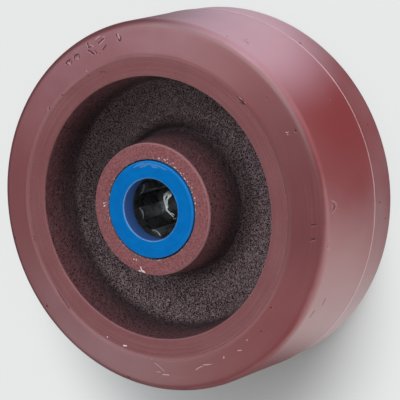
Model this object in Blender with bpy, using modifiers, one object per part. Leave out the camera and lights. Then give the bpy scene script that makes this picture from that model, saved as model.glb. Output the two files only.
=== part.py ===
"""Polyurethane trolley wheel, built as it comes apart on the bench.

A one-piece tyre is bonded round a cast iron centre. The hub holds a caged
roller bearing, which runs straight on the axle, and a nylon retainer at each
end keeps the bearing in.

The wheel turns about Z, its front face is up, and the origin is its centre.
Sizes are in metres and angles in degrees.
"""
import math

import bpy
from mathutils import Matrix

# Axle that the wheel runs on, and the width between the fork's legs
AXLE_RADIUS = 0.010
FORK_WIDTH = 0.060

# Clearances
SEAT_GAP = 0.0003
BORE_RUNNING_GAP = 0.00015
POCKET_SIDE_CLEARANCE = 0.00025
POCKET_END_CLEARANCE = 0.0003
CAGE_AXLE_CLEARANCE = 0.0008
CAGE_BORE_CLEARANCE = 0.00045
RETAINER_AXLE_CLEARANCE = 0.0004

# Tyre
TREAD_RADIUS = 0.0625
TYRE_DEPTH = 0.012
TYRE_WIDTH = 0.054
TYRE_LAND = 0.001
TYRE_SIDE_SLOPE = 17.0
SHOULDER_RADIUS = 0.0035
BACK_TAPER = 0.0004
SEAM_OFFSET = -0.010
SEAM_HEIGHT = 0.0002
SEAM_WIDTH = 0.0008

# Rim of the casting
RIM_WALL = 0.0062
RIM_EDGE = 0.0003
RIM_DRAFT = 8.0
RIM_FILLET = 0.0075

# Web and hub of the casting
WEB_THICKNESS = 0.013
WEB_LAND = 0.001
HUB_WALL = 0.0055
HUB_EDGE = 0.0005
HUB_SETBACK = 0.0007
HUB_DRAFT = 5.0
HUB_FILLET = 0.006
MOUTH_CHAMFER = 0.0004
SHOULDER_STEP = 0.00045

# Retainers
RETAINER_THICKNESS = 0.006
RETAINER_OUTER_EDGE = 0.0006
RETAINER_BORE_EDGE = 0.0004

# Roller bearing
ROLLER_COUNT = 8
ROLLER_RADIUS = 0.003
ROLLER_EDGE = 0.0004
CAGE_END_RING = 0.0039

# Smoothness of round shapes
WHEEL_SEGMENTS = 72
BEARING_SEGMENTS = 48
ROLLER_SEGMENTS = 24
FILLET_STEPS = 5
SHOULDER_STEPS = 6
EDGE_STEPS = 2
RIM_EDGE_STEPS = 1
EDGE_ANGLE = 32.0
MERGE_DISTANCE = 0.00001

# Sizes that follow from the others
PITCH_RADIUS = AXLE_RADIUS + ROLLER_RADIUS
BORE_RADIUS = PITCH_RADIUS + ROLLER_RADIUS + BORE_RUNNING_GAP
COUNTERBORE_RADIUS = BORE_RADIUS + SHOULDER_STEP
RETAINER_OUTER_Z = FORK_WIDTH / 2
RETAINER_INNER_Z = RETAINER_OUTER_Z - RETAINER_THICKNESS
COUNTERBORE_Z = RETAINER_INNER_Z - SEAT_GAP
HUB_FACE_Z = RETAINER_OUTER_Z - HUB_SETBACK
CAGE_END_Z = RETAINER_INNER_Z - SEAT_GAP
POCKET_END_Z = CAGE_END_Z - CAGE_END_RING
ROLLER_LENGTH = 2 * (POCKET_END_Z - POCKET_END_CLEARANCE)
RIM_FACE_Z = TYRE_WIDTH / 2
WEB_FACE_Z = WEB_THICKNESS / 2
RIM_RADIUS = TREAD_RADIUS - TYRE_DEPTH - SEAT_GAP
RIM_MOUTH_RADIUS = RIM_RADIUS - RIM_WALL
HUB_RADIUS = COUNTERBORE_RADIUS + HUB_WALL
HUB_FLARE = (HUB_FACE_Z - WEB_FACE_Z) * math.tan(math.radians(HUB_DRAFT))
RIM_FLARE = (RIM_FACE_Z - WEB_FACE_Z) * math.tan(math.radians(RIM_DRAFT))

# In a narrow recess both fillets shrink together, so that the web keeps its land
WEB_ROOM = RIM_MOUTH_RADIUS - RIM_FLARE - HUB_RADIUS - HUB_FLARE
FILLET_SHARE = min(1.0, WEB_ROOM / (HUB_FILLET + RIM_FILLET + WEB_LAND))


def arc(centre_r, centre_z, radius, start, end, steps):
    """Points of an arc in the turning plane, from one angle to another."""
    points = []
    for step in range(steps + 1):
        angle = math.radians(start + (end - start) * step / steps)
        points.append((centre_r + radius * math.cos(angle), centre_z + radius * math.sin(angle)))
    return points


def mirrored(points):
    """The same points below the wheel's middle plane, in reverse order."""
    return [(r, -z) for r, z in reversed(points)]


def material(name, colour, roughness, metallic=0.0):
    """A plain finish."""
    finish = bpy.data.materials.new(name)
    finish.use_nodes = True
    shader = finish.node_tree.nodes["Principled BSDF"]
    shader.inputs["Base Color"].default_value = (*colour, 1.0)
    shader.inputs["Roughness"].default_value = roughness
    shader.inputs["Metallic"].default_value = metallic
    return finish


def place(piece, collection, finish=None, parent=None):
    """Put a piece in its collection, with its finish and its parent."""
    collection.objects.link(piece)
    if finish:
        piece.data.materials.append(finish)
    piece.parent = parent
    return piece


def turned(name, profile, segments, collection, finish, parent):
    """A closed profile of (radius, height) points, turned about Z."""
    mesh = bpy.data.meshes.new(name)
    edges = [(index, (index + 1) % len(profile)) for index in range(len(profile))]
    mesh.from_pydata([(r, 0.0, z) for r, z in profile], edges, [])
    piece = place(bpy.data.objects.new(name, mesh), collection, finish, parent)
    screw = piece.modifiers.new("Turning", "SCREW")
    screw.axis = "Z"
    screw.steps = segments
    screw.render_steps = segments
    screw.use_merge_vertices = True
    screw.merge_threshold = MERGE_DISTANCE
    return piece


def cylinder(name, radius, length, edge=0.0):
    """An upright cylinder centred on the origin, with rounded end edges."""
    bpy.ops.mesh.primitive_cylinder_add(vertices=ROLLER_SEGMENTS, radius=radius, depth=length)
    piece = bpy.context.active_object
    piece.name = name
    piece.data.name = name
    for collection in piece.users_collection:
        collection.objects.unlink(piece)
    if edge:
        bevel = piece.modifiers.new("End edges", "BEVEL")
        bevel.width = edge
        bevel.segments = EDGE_STEPS
        bevel.limit_method = "ANGLE"
        bevel.angle_limit = math.radians(EDGE_ANGLE)
    return piece


def settle(piece):
    """Fix a piece's modifiers into its mesh, and shade it smooth between its edges."""
    graph = bpy.context.evaluated_depsgraph_get()
    mesh = bpy.data.meshes.new_from_object(piece.evaluated_get(graph), depsgraph=graph)
    mesh.shade_smooth()
    mesh.set_sharp_from_angle(angle=math.radians(EDGE_ANGLE))
    mesh.name = piece.name
    piece.modifiers.clear()
    piece.data = mesh


def tyre_side(tread_radius):
    """One side of the tyre, from its inner edge over the shoulder to the tread."""
    inner = RIM_RADIUS + SEAT_GAP
    land_end = inner + TYRE_LAND
    start = 90.0 - TYRE_SIDE_SLOPE
    centre_r = tread_radius - SHOULDER_RADIUS
    tangent_r = centre_r + SHOULDER_RADIUS * math.cos(math.radians(start))
    tangent_z = RIM_FACE_Z - math.tan(math.radians(TYRE_SIDE_SLOPE)) * (tangent_r - land_end)
    centre_z = tangent_z - SHOULDER_RADIUS * math.sin(math.radians(start))
    shoulder = arc(centre_r, centre_z, SHOULDER_RADIUS, start, 0.0, SHOULDER_STEPS)
    return [(inner, RIM_FACE_Z), (land_end, RIM_FACE_Z)] + shoulder


def tyre_profile():
    """The tread has a raised mould seam, and the band behind the seam tapers."""
    seam = [
        (TREAD_RADIUS, SEAM_OFFSET + SEAM_WIDTH / 2),
        (TREAD_RADIUS + SEAM_HEIGHT, SEAM_OFFSET),
        (TREAD_RADIUS, SEAM_OFFSET - SEAM_WIDTH / 2),
    ]
    return tyre_side(TREAD_RADIUS) + seam + mirrored(tyre_side(TREAD_RADIUS - BACK_TAPER))


def hub_wall():
    """The hub's face, its drafted outer wall and the fillet into the web."""
    draft = math.radians(HUB_DRAFT)
    radius = HUB_FILLET * FILLET_SHARE
    edge = arc(HUB_RADIUS - HUB_EDGE, HUB_FACE_Z - HUB_EDGE, HUB_EDGE, 90.0, HUB_DRAFT, EDGE_STEPS)
    edge_r, edge_z = edge[-1]
    centre_z = WEB_FACE_Z + radius
    fillet_z = centre_z - radius * math.sin(draft)
    fillet_r = edge_r + (edge_z - fillet_z) * math.tan(draft)
    centre_r = fillet_r + radius * math.cos(draft)
    fillet = arc(centre_r, centre_z, radius, 180.0 + HUB_DRAFT, 270.0, FILLET_STEPS)
    return edge + fillet


def rim_wall():
    """The fillet from the web, the drafted inner wall of the rim and the rim's face."""
    draft = math.radians(RIM_DRAFT)
    radius = RIM_FILLET * FILLET_SHARE
    edge = arc(RIM_MOUTH_RADIUS + RIM_EDGE, RIM_FACE_Z - RIM_EDGE, RIM_EDGE,
               180.0 - RIM_DRAFT, 90.0, RIM_EDGE_STEPS)
    edge_r, edge_z = edge[0]
    centre_z = WEB_FACE_Z + radius
    fillet_z = centre_z - radius * math.sin(draft)
    fillet_r = edge_r - (edge_z - fillet_z) * math.tan(draft)
    centre_r = fillet_r - radius * math.cos(draft)
    fillet = arc(centre_r, centre_z, radius, 270.0, 360.0 - RIM_DRAFT, FILLET_STEPS)
    outer = [(RIM_RADIUS - RIM_EDGE, RIM_FACE_Z), (RIM_RADIUS, RIM_FACE_Z - RIM_EDGE)]
    return fillet + edge + outer


def centre_profile():
    """The casting: bored hub, web and rim, the same on both sides."""
    mouth = [
        (BORE_RADIUS, COUNTERBORE_Z),
        (COUNTERBORE_RADIUS, COUNTERBORE_Z),
        (COUNTERBORE_RADIUS, HUB_FACE_Z - MOUTH_CHAMFER),
        (COUNTERBORE_RADIUS + MOUTH_CHAMFER, HUB_FACE_Z),
    ]
    side = mouth + hub_wall() + rim_wall()
    return side + mirrored(side)


def retainer_profile(side):
    """A thick ring with rounded edges on its outer face; side is 1 at the front, -1 at the back."""
    inner = AXLE_RADIUS + RETAINER_AXLE_CLEARANCE
    outer = COUNTERBORE_RADIUS - SEAT_GAP
    bore_edge = arc(inner + RETAINER_BORE_EDGE, RETAINER_OUTER_Z - RETAINER_BORE_EDGE,
                    RETAINER_BORE_EDGE, 180.0, 90.0, EDGE_STEPS)
    outer_edge = arc(outer - RETAINER_OUTER_EDGE, RETAINER_OUTER_Z - RETAINER_OUTER_EDGE,
                     RETAINER_OUTER_EDGE, 90.0, 0.0, EDGE_STEPS)
    front = [(inner, RETAINER_INNER_Z)] + bore_edge + outer_edge + [(outer, RETAINER_INNER_Z)]
    return front if side > 0 else mirrored(front)


def cage_profile():
    """The cage is a plain tube before its pockets are cut."""
    inner = AXLE_RADIUS + CAGE_AXLE_CLEARANCE
    outer = BORE_RADIUS - CAGE_BORE_CLEARANCE
    return [(inner, CAGE_END_Z), (outer, CAGE_END_Z), (outer, -CAGE_END_Z), (inner, -CAGE_END_Z)]


def roller_place(index):
    """Where a roller's axis lies round the cage."""
    turn = Matrix.Rotation(2 * math.pi * index / ROLLER_COUNT, 4, "Z")
    return turn @ Matrix.Translation((PITCH_RADIUS, 0, 0))


def cut_pockets(cage, cutters):
    """Cut one round pocket for each roller, open to the axle and to the bore."""
    for index in range(ROLLER_COUNT):
        name = f"pocket_cutter_{index + 1}"
        cutter = cylinder(name, ROLLER_RADIUS + POCKET_SIDE_CLEARANCE, 2 * POCKET_END_Z)
        cutter.matrix_world = roller_place(index)
        cutter.hide_render = True
        cutter.display_type = "WIRE"
        place(cutter, cutters)
        pocket = cage.modifiers.new(f"Pocket {index + 1}", "BOOLEAN")
        pocket.operation = "DIFFERENCE"
        pocket.solver = "EXACT"
        pocket.object = cutter


def new_collection(name):
    """A collection in the scene."""
    collection = bpy.data.collections.new(name)
    bpy.context.scene.collection.children.link(collection)
    return collection


def empty(name, collection):
    """An empty on the wheel's axis."""
    return place(bpy.data.objects.new(name, None), collection)


for leftover in list(bpy.data.objects):
    bpy.data.objects.remove(leftover)

parts = new_collection("trolley_wheel")
cutters = new_collection("cutters")
wheel_axis = empty("wheel_axis", parts)
cage_axis = empty("cage_axis", parts)
cage_axis.parent = wheel_axis

polyurethane = material("polyurethane", (0.262, 0.062, 0.062), 0.42)
cast_iron = material("painted_cast_iron", (0.110, 0.040, 0.042), 0.62)
blue_nylon = material("blue_nylon", (0.002, 0.156, 0.474), 0.38)
black_nylon = material("black_nylon", (0.012, 0.013, 0.013), 0.45)
roller_steel = material("roller_steel", (0.42, 0.43, 0.44), 0.32, 1.0)

turned("tyre", tyre_profile(), WHEEL_SEGMENTS, parts, polyurethane, wheel_axis)
turned("wheel_centre", centre_profile(), WHEEL_SEGMENTS, parts, cast_iron, wheel_axis)
turned("retainer_front", retainer_profile(1), BEARING_SEGMENTS, parts, blue_nylon, wheel_axis)
turned("retainer_back", retainer_profile(-1), BEARING_SEGMENTS, parts, blue_nylon, wheel_axis)

roller_cage = turned("roller_cage", cage_profile(), BEARING_SEGMENTS, parts, black_nylon, cage_axis)
cut_pockets(roller_cage, cutters)

for index in range(ROLLER_COUNT):
    roller = cylinder(f"roller_{index + 1}", ROLLER_RADIUS, ROLLER_LENGTH, ROLLER_EDGE)
    place(roller, parts, roller_steel, cage_axis)
    roller.matrix_world = roller_place(index)

for piece in parts.objects:
    if piece.type == "MESH":
        settle(piece)
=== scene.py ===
"""A polyurethane trolley wheel on its side in a pale studio.

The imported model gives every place. Each section below makes one piece of the
wheel, in the order in which the wheel is put together.
"""
import math

import bmesh
import bpy
from mathutils import Matrix, Vector, kdtree


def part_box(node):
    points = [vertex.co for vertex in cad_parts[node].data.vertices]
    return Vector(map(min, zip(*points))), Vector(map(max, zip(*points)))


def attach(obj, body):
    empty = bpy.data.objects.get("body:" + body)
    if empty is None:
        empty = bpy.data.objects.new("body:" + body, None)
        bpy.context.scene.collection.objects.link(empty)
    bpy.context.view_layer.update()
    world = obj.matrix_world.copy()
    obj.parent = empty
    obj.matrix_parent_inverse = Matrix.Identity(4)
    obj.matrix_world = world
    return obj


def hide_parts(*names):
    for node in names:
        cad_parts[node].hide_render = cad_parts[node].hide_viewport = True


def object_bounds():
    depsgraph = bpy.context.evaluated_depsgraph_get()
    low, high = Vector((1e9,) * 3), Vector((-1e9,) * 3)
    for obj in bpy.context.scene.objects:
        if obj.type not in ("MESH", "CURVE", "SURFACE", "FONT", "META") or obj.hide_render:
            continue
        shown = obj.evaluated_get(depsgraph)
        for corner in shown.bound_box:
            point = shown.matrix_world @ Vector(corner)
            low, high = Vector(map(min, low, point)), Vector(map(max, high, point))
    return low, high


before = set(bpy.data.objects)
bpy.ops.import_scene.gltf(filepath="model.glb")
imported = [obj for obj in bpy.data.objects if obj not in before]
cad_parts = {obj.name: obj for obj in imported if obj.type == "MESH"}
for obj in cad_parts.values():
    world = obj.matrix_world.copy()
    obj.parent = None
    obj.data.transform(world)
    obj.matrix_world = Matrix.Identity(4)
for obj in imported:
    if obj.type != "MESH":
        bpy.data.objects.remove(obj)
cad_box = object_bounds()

MM = 0.001

# Camera. It looks down on the wheel's front face from a long way off, and is
# rolled so that the wheel's +X side comes out at the top of the picture.
camera_aim = Vector((-1.8, -10.7, 15.9)) * MM
camera_distance = 988.7 * MM
camera_azimuth = math.radians(1.43)
camera_elevation = math.radians(57.7)
camera_roll = math.radians(-106.5)

camera_data = bpy.data.cameras.new("camera")
camera_data.lens = 268.4
camera_data.sensor_width = 36.0
camera_data.clip_end = 10.0
camera = bpy.data.objects.new("camera", camera_data)
bpy.context.scene.collection.objects.link(camera)
look = Vector((
    math.sin(camera_azimuth) * math.cos(camera_elevation),
    math.cos(camera_azimuth) * math.cos(camera_elevation),
    -math.sin(camera_elevation),
))
level = look.to_track_quat("-Z", "Y").to_matrix().to_4x4()
place = Matrix.Translation(camera_aim - look * camera_distance)
camera.matrix_world = place @ level @ Matrix.Rotation(camera_roll, 4, "Z")
bpy.context.scene.camera = camera
bpy.context.scene.view_settings.view_transform = "Standard"

# Studio. A pale sheet of paper lies under the wheel. Soft lamps hang round it in a
# pale room: a wide bright one past the picture's top and four weaker ones. A small
# one in front shines through the blue ring into the bearing.
paper_size = 8.0
paper_colour = (0.60, 0.615, 0.61)
glow_colour = (0.83, 0.85, 0.84)
paper_glow = 0.88
shadow_place = Vector((-34.0, 26.0, 0.0)) * MM
shadow_reach = 80 * MM
shadow_core = 40 * MM
gloss_dark = (0.10, 0.08, 0.09)
gloss_lights = (
    # colour, where it starts and is full along the paper's X, and the same along its Y
    ((1.00, 0.86, 1.00), (25 * MM, 62 * MM), (28 * MM, -30 * MM)),
    ((1.00, 0.98, 0.98), (-20 * MM, -65 * MM), (10 * MM, -30 * MM)),
)
room_colour = (0.93, 0.96, 1.0, 1.0)
room_strength = 0.18
lamps = (
    # name, direction, distance, width, height, power, colour, whether the gloss shows it
    ("top_lamp", (0.74, -0.34, 0.58), 2.2, 4.0, 2.4, 52.0, (0.92, 0.95, 1.0), True),
    ("over_lamp", (0.55, 0.40, 0.73), 2.6, 1.6, 1.6, 7.0, (0.92, 0.95, 1.0), False),
    ("front_lamp", (0.12, -0.48, 0.87), 2.4, 1.8, 1.8, 17.0, (1.0, 1.0, 1.0), False),
    ("left_lamp", (-0.26, 0.68, 0.68), 2.4, 1.3, 1.3, 7.0, (1.0, 0.99, 0.97), True),
    ("low_lamp", (-0.60, -0.74, 0.30), 2.2, 1.4, 0.8, 18.0, (1.0, 0.99, 0.98), False),
)
wheel_middle = Vector((0.0, 0.0, 0.0))
bore_lamp_aim = Vector((-0.5, 9.3, 4.5)) * MM
bore_lamp_direction = (0.02, -0.50, 0.87)
bore_lamp_distance = 0.6
bore_lamp_radius = 2 * MM
bore_lamp_beam = math.radians(1.0)
bore_lamp_power = 6.5
bore_lamp_colour = (0.88, 0.96, 1.0)


def make_finish(name):
    """A new material: the material, its node tree, its shader, and the object's coordinates."""
    finish = bpy.data.materials.new(name)
    finish.use_nodes = True
    tree = finish.node_tree
    where = tree.nodes.new("ShaderNodeTexCoord").outputs["Object"]
    return finish, tree, tree.nodes["Principled BSDF"], where


def add_node(tree, kind, values, output=0, **settings):
    """Adds a node, sets or links its sockets from a list or a dict, and gives one of its outputs."""
    made = tree.nodes.new(kind)
    for setting, value in settings.items():
        setattr(made, setting, value)
    for socket, value in (values.items() if isinstance(values, dict) else enumerate(values)):
        if isinstance(value, bpy.types.NodeSocket):
            tree.links.new(value, made.inputs[socket])
        elif value is not None:
            made.inputs[socket].default_value = value
    return made.outputs[output]


def reckon(tree, operation, *values):
    """A sum of one to three numbers, held between 0 and 1."""
    return add_node(tree, "ShaderNodeMath", values, operation=operation, use_clamp=True)


def fade(tree, value, start, end, first=0.0, last=1.0):
    """Goes smoothly from the first number at the start to the last one at the end."""
    values = [value, start, end, first, last]
    return add_node(tree, "ShaderNodeMapRange", values, interpolation_type="SMOOTHSTEP")


def mixed(tree, share, first, second):
    """Two colours, mixed by a share of the second one."""
    values = [share] + [None] * 5
    for value in (first, second):
        values.append(value if isinstance(value, bpy.types.NodeSocket) else (*value, 1.0))
    return add_node(tree, "ShaderNodeMix", values, 2, data_type="RGBA")


def away_from(tree, where, spot):
    """The distance from a spot."""
    return add_node(tree, "ShaderNodeVectorMath", [where, spot], 1, operation="DISTANCE")


def hang_lamp(lamp_data, aim, direction, distance):
    """Hangs a lamp in a direction and at a distance from what it shines on."""
    lamp = bpy.data.objects.new(lamp_data.name, lamp_data)
    bpy.context.scene.collection.objects.link(lamp)
    towards = Vector(direction).normalized()
    turn = (-towards).to_track_quat("-Z", "Y").to_matrix().to_4x4()
    lamp.matrix_world = Matrix.Translation(aim + towards * distance) @ turn
    return lamp


bpy.ops.mesh.primitive_plane_add(size=paper_size, location=(0, 0, cad_box[0].z))
paper = bpy.context.object
paper.name = "paper"
pale_paper, tree, shader, where = make_finish("pale_paper")
shader.inputs["Base Color"].default_value = (*paper_colour, 1.0)
shader.inputs["Roughness"].default_value = 0.9
shader.inputs["Specular IOR Level"].default_value = 0.1
ray = tree.nodes.new("ShaderNodeLightPath")
# The eye sees the paper glow a little, except where the wheel's shadow falls.
glow = add_node(tree, "ShaderNodeEmission", [(*glow_colour, 1.0)])
from_shadow = away_from(tree, where, shadow_place)
off_the_shadow = fade(tree, from_shadow, shadow_core, shadow_reach, last=paper_glow)
glow_share = reckon(tree, "MULTIPLY", ray.outputs["Is Camera Ray"], off_the_shadow)
surface = add_node(tree, "ShaderNodeMixShader", [glow_share, shader.outputs[0], glow])
# The wheel's gloss sees the paper dark, with a faintly mauve light past the picture's
# top right and a pale one past its bottom right. Nothing else sees them.
paper_x = add_node(tree, "ShaderNodeSeparateXYZ", [where], 0)
paper_y = add_node(tree, "ShaderNodeSeparateXYZ", [where], 1)
seen_colour = gloss_dark
for light_colour, along_x, along_y in gloss_lights:
    light_share = reckon(tree, "MULTIPLY", fade(tree, paper_x, *along_x), fade(tree, paper_y, *along_y))
    seen_colour = mixed(tree, light_share, seen_colour, light_colour)
seen = add_node(tree, "ShaderNodeEmission", [seen_colour])
surface = add_node(tree, "ShaderNodeMixShader", [ray.outputs["Is Glossy Ray"], surface, seen])
tree.links.new(surface, tree.nodes["Material Output"].inputs["Surface"])
paper.data.materials.append(pale_paper)

for name, direction, distance, width, height, power, colour, in_gloss in lamps:
    lamp_data = bpy.data.lights.new(name, "AREA")
    lamp_data.shape = "RECTANGLE"
    lamp_data.size = width
    lamp_data.size_y = height
    lamp_data.energy = power
    lamp_data.color = colour
    lamp = hang_lamp(lamp_data, wheel_middle, direction, distance)
    lamp.visible_glossy = in_gloss

lamp_data = bpy.data.lights.new("bore_lamp", "SPOT")
lamp_data.energy = bore_lamp_power
lamp_data.color = bore_lamp_colour
lamp_data.shadow_soft_size = bore_lamp_radius
lamp_data.spot_size = bore_lamp_beam
lamp_data.spot_blend = 0.5
lamp = hang_lamp(lamp_data, bore_lamp_aim, bore_lamp_direction, bore_lamp_distance)
lamp.visible_camera = False

room = bpy.data.worlds.new("pale_room")
bpy.context.scene.world = room
room.use_nodes = True
background = room.node_tree.nodes["Background"]
background.inputs["Color"].default_value = room_colour
background.inputs["Strength"].default_value = room_strength

# Tyre. One moulding of maroon polyurethane, cast round the iron rim in a mould of
# two halves. Its sides slope down to rounded shoulders, and the mould's seam runs
# round the tread as a fine raised line. Use has scuffed and nicked it.
tyre_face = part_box("tyre")[1].z
seam_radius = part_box("tyre")[1].x
seam_height = 0.2 * MM
tread_radius = seam_radius - seam_height
rim_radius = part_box("wheel_centre")[1].x
tyre_bore = rim_radius + 0.02 * MM
tyre_depth = tread_radius - tyre_bore
lip_width = 1.3 * MM
lip_edge = 0.3 * MM
side_slope = math.radians(17.0)
shoulder_radius = 3.5 * MM
shoulder_height = tyre_face - (tyre_depth - lip_width) * math.tan(side_slope)
back_radius = tread_radius - 0.4 * MM
seam_place = -10.0 * MM
seam_width = 0.9 * MM
seam_tip = 0.10 * MM
tyre_step = 1.6 * MM
tyre_sides = 320
red = (0.262, 0.035, 0.037)
side_red = (0.210, 0.046, 0.049)
edge_shade_red = (0.105, 0.014, 0.018)
haze_and_sheen_mauve = (0.38, 0.205, 0.235)
tread_highlight_mauve = (0.52, 0.27, 0.33)
tread_dust_and_sheen = (0.34, 0.22, 0.23)
worn = (0.62, 0.42, 0.42)
dent = (0.085, 0.028, 0.034)
dirt = (0.055, 0.030, 0.033)
# Soft patches, set where the photograph shows them: haze with a painted sheen on the
# side, dust with a painted reflection on the tread except in a red core, a painted
# highlight on the tread, and painted shade on the side's outer edge.
haze_sheen_place = (2.0, 58.0, 25.0)
haze_sheen_reach = 62 * MM
dust_sheen_place = (128.0, 57.0, 25.0)
dust_sheen_reach = 45 * MM
tread_highlight_place = (-42.0, 62.5, 10.0)
tread_highlight_reach = 42 * MM
red_core_place = (-78.0, 62.5, 3.0)
red_core_reach = 45 * MM
shaded_side_place = (-98.0, 57.0, 25.0)
shaded_side_reach = 46 * MM
shaded_edge_place = (35.0, 62.0, 20.0)
shaded_edge_reach = 90 * MM


def draw_section(name, corners):
    """The closed outline of a turned piece, drawn from corner to corner in the XZ plane.

    A corner is its radius, its height, and the radius and steps of its rounding."""
    points = [Vector((radius, 0, height)) for radius, height, _, _ in corners]
    bpy.ops.object.select_all(action="DESELECT")
    bpy.ops.mesh.primitive_plane_add(size=MM, location=points[0])
    piece = bpy.context.object
    piece.name = name
    bpy.ops.object.transform_apply(location=True)
    bpy.ops.object.mode_set(mode="EDIT")
    bpy.ops.mesh.select_mode(type="VERT")
    bpy.ops.mesh.merge(type="CENTER")
    for start, end in zip(points, points[1:]):
        bpy.ops.mesh.extrude_region_move(TRANSFORM_OT_translate={"value": end - start})
    outline = bmesh.from_edit_mesh(piece.data)
    min(outline.verts, key=lambda vertex: (vertex.co - points[0]).length).select = True
    bmesh.update_edit_mesh(piece.data)
    bpy.ops.mesh.edge_face_add()
    for index, (_, _, rounding, steps) in enumerate(corners):
        if rounding:
            bpy.ops.mesh.select_all(action="DESELECT")
            outline = bmesh.from_edit_mesh(piece.data)
            min(outline.verts, key=lambda vertex: (vertex.co - points[index]).length).select = True
            bmesh.update_edit_mesh(piece.data)
            before = points[index] - points[index - 1]
            after = points[(index + 1) % len(points)] - points[index]
            back_from_corner = rounding * math.tan(before.angle(after) / 2)
            bpy.ops.mesh.bevel(affect="VERTICES", offset=back_from_corner, segments=steps)
    return piece


def cut_long_edges(piece, longest, low=0.0, high=1.0):
    """Halves the outline's edges between two radii until none is longer than asked."""
    bpy.ops.mesh.select_mode(type="EDGE")
    while True:
        bpy.ops.mesh.select_all(action="DESELECT")
        outline = bmesh.from_edit_mesh(piece.data)
        too_long = [
            edge for edge in outline.edges
            if edge.calc_length() > longest and low < (edge.verts[0].co.x + edge.verts[1].co.x) / 2 < high
        ]
        if not too_long:
            return
        for edge in too_long:
            edge.select = True
        bmesh.update_edit_mesh(piece.data)
        bpy.ops.mesh.subdivide(number_cuts=1)


def spin_section(piece, sides, smooth_angle=30.0):
    """Spins the outline round the wheel's axis into a closed, smooth body."""
    bpy.ops.mesh.select_all(action="SELECT")
    bpy.ops.mesh.spin(steps=sides, angle=2 * math.pi, center=(0, 0, 0), axis=(0, 0, 1))
    bpy.ops.mesh.select_all(action="SELECT")
    bpy.ops.mesh.remove_doubles(threshold=0.001 * MM)
    bpy.ops.mesh.normals_make_consistent(inside=False)
    bpy.ops.object.mode_set(mode="OBJECT")
    bpy.ops.object.shade_smooth_by_angle(angle=math.radians(smooth_angle))


def make_uneven(piece, name, lump, depth, among=None, direction="NORMAL", rest=1.0):
    """Moves the surface by soft lumps. At a rest of 1 it only sinks in, at 0.5 it goes both ways."""
    lumps = bpy.data.textures.new(name, "CLOUDS")
    lumps.noise_scale = lump
    lumps.noise_depth = 2
    if among:
        group = piece.vertex_groups.new(name=name)
        group.add([vertex.index for vertex in piece.data.vertices if among(vertex.co)], 1.0, "REPLACE")
    uneven = piece.modifiers.new(name, "DISPLACE")
    uneven.texture = lumps
    uneven.texture_coords = "LOCAL"
    uneven.direction = direction
    uneven.strength = depth
    uneven.mid_level = rest
    uneven.vertex_group = name if among else ""
    bpy.ops.object.modifier_apply(modifier=name)
    if among:
        piece.vertex_groups.remove(piece.vertex_groups[name])


tyre = draw_section("moulded_tyre", (
    (tyre_bore, tyre_face, 0, 0),
    (tyre_bore + lip_width, tyre_face, lip_edge, 3),
    (tread_radius, shoulder_height, shoulder_radius, 10),
    (tread_radius, seam_place + seam_width / 2, 0, 0),
    (seam_radius, seam_place, seam_tip, 3),
    (tread_radius, seam_place - seam_width / 2, 0, 0),
    (back_radius, -shoulder_height, shoulder_radius, 10),
    (tyre_bore + lip_width, -tyre_face, lip_edge, 3),
    (tyre_bore, -tyre_face, 0, 0),
))
cut_long_edges(tyre, tyre_step, low=tyre_bore + lip_width / 4)
spin_section(tyre, tyre_sides, 40.0)


def on_seam(point):
    """Whether a point of the tyre is on the raised seam."""
    return math.hypot(point.x, point.y) > tread_radius + seam_height / 4


make_uneven(tyre, "seam_wander", 9 * MM, 0.4 * MM, on_seam, "Z", rest=0.5)
make_uneven(tyre, "seam_height", 4 * MM, 0.08 * MM, on_seam)
make_uneven(tyre, "tyre_waves", 24 * MM, 0.10 * MM)


def on_wheel(angle, radius, height):
    """The point at an angle in degrees from +X, and at a radius and a height in millimetres."""
    turned = math.radians(angle)
    return Vector((radius * math.cos(turned), radius * math.sin(turned), height)) * MM


def lumps_of(tree, where, size, detail=2.0, sharpness=0.5):
    """Noise from 0 to 1, in lumps of about the given size."""
    values = {"Vector": where, "Scale": 1 / size, "Detail": detail, "Roughness": sharpness}
    return add_node(tree, "ShaderNodeTexNoise", values)


def round_place(tree, where, place, reach, core, last, first=0.0):
    """The first number past the reach of a place on the wheel, and the last one in its core."""
    return fade(tree, away_from(tree, where, on_wheel(*place)), reach, reach * core, first, last)


def relief(tree, height, depth, under=None):
    """A bump of the given depth, laid over another one."""
    values = {"Strength": 1.0, "Distance": depth, "Height": height, "Normal": under}
    return add_node(tree, "ShaderNodeBump", values)


def distances(tree, where):
    """The distance from the wheel's axis, and the height."""
    flat = add_node(tree, "ShaderNodeVectorMath", [where, (1, 1, 0)], operation="MULTIPLY")
    radius = add_node(tree, "ShaderNodeVectorMath", [flat], 1, operation="LENGTH")
    height = add_node(tree, "ShaderNodeSeparateXYZ", [where], 2)
    return radius, height


def round_the_axis(tree, where, along, across):
    """Coordinates that run round the axis: long streaks of the first size, close lines of the second."""
    flat = add_node(tree, "ShaderNodeVectorMath", [where, (1, 1, 0)], operation="MULTIPLY")
    direction = add_node(tree, "ShaderNodeVectorMath", [flat], operation="NORMALIZE")
    arm = add_node(tree, "ShaderNodeVectorMath", {0: direction, 3: tread_radius / along}, operation="SCALE")
    radius, height = distances(tree, where)
    lines = add_node(tree, "ShaderNodeMath", [height, -1.0, radius], operation="MULTIPLY_ADD")
    lines = add_node(tree, "ShaderNodeMath", [lines, 1 / across], operation="MULTIPLY")
    lift = add_node(tree, "ShaderNodeCombineXYZ", [0.0, 0.0, lines])
    return add_node(tree, "ShaderNodeVectorMath", [arm, lift], operation="ADD")


def dots_along(marks):
    """The strokes of the marks as close dots: the place and the half width of each."""
    dots = []
    for *places, width in marks:
        places = [on_wheel(*place) for place in places]
        width = width * MM
        for start, end in zip(places, places[1:] or places):
            count = max(1, round((end - start).length / width))
            dots += [(start.lerp(end, index / count), width) for index in range(count + 1)]
    return dots


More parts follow.
